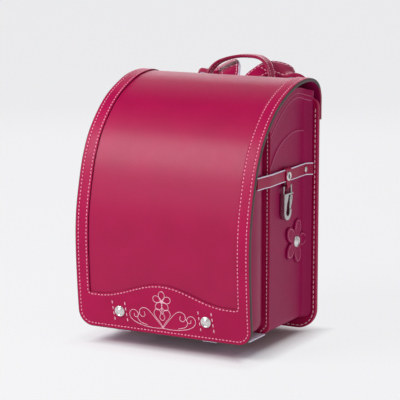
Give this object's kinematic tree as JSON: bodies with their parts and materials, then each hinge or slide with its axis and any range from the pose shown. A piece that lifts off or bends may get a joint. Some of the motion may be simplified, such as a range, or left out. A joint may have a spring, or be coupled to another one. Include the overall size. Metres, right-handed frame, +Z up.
{
  "type": "school ransel",
  "caption": "Stiff glossy magenta school ransel with a full-length curved flap, stitched borders, side hooks, leather flowers and padded shoulder straps",
  "frame": {"origin": "the middle of the footprint, on the floor", "axes": "+X to the right seen from the flap, +Y from the flap to the wearer's back, +Z up"},
  "size_m": [0.266, 0.2828, 0.366],
  "materials": {
    "flap_leather": "glossy magenta leather with a fine grain",
    "side_leather": "satin dark magenta leather",
    "strap_leather": "satin magenta leather with pale edges",
    "back_padding": "soft matt pale lavender leather",
    "lining": "matt pale lavender cloth",
    "silver_metal": "polished silver-coloured metal"
  },
  "bodies": {
    "bag": {"flap_panel": "flap_leather", "flap_border": "flap_leather", "main_gusset": "side_leather", "front_wall": "side_leather", "base_lip": "lining", "pocket_gusset": "side_leather", "pocket_front": "side_leather", "back_board": "side_leather", "back_border": "flap_leather", "back_pad": "back_padding", "lock": "silver_metal", "closing_belt_left": "strap_leather", "closing_belt_right": "strap_leather", "flap_rivet_left": "silver_metal", "flap_rivet_right": "silver_metal", "side_belt_left": "strap_leather", "side_belt_right": "strap_leather", "side_belt_rivet_left": "silver_metal", "side_belt_rivet_right": "silver_metal", "hook_tab_left": "strap_leather", "hook_tab_right": "strap_leather", "eyelet_left": "silver_metal", "eyelet_right": "silver_metal", "flower_left": "side_leather", "flower_right": "side_leather", "flower_stud_left": "silver_metal", "flower_stud_right": "silver_metal", "handle": "strap_leather", "handle_bracket_left": "silver_metal", "handle_bracket_right": "silver_metal", "strap_plate": "silver_metal", "shoulder_strap_left": "strap_leather", "shoulder_strap_right": "strap_leather", "strap_rivet_left": "silver_metal", "strap_rivet_right": "silver_metal", "buckle_left": "silver_metal", "buckle_right": "silver_metal", "lower_strap_left": "strap_leather", "lower_strap_right": "strap_leather", "ring_left": "silver_metal", "ring_right": "silver_metal", "ring_tab_left": "strap_leather", "ring_tab_right": "strap_leather"},
    "left_hook": {"hook_body_left": "silver_metal"},
    "right_hook": {"hook_body_right": "silver_metal"},
    "left_gate": {"hook_gate_left": "silver_metal"},
    "right_gate": {"hook_gate_right": "silver_metal"}
  },
  "joints": [
    {"name": "left_hook_swing", "type": "hinge", "parent": "bag", "child": "left_hook", "pos_m": [-0.12142, -0.02078, 0.2108], "axis": [0, 1, 0], "range_deg": [0, 80]},
    {"name": "right_hook_swing", "type": "hinge", "parent": "bag", "child": "right_hook", "pos_m": [0.12142, -0.02078, 0.2108], "axis": [0, -1, 0], "range_deg": [0, 80]},
    {"name": "left_gate_press", "type": "hinge", "parent": "left_hook", "child": "left_gate", "pos_m": [-0.12142, -0.01238, 0.1953], "axis": [-1, 0, 0], "range_deg": [0, 24], "stiffness_Nm_per_rad": 0.02, "springref_deg": -11.46},
    {"name": "right_gate_press", "type": "hinge", "parent": "right_hook", "child": "right_gate", "pos_m": [0.12142, -0.01238, 0.1953], "axis": [-1, 0, 0], "range_deg": [0, 24], "stiffness_Nm_per_rad": 0.02, "springref_deg": -11.46}
  ]
}
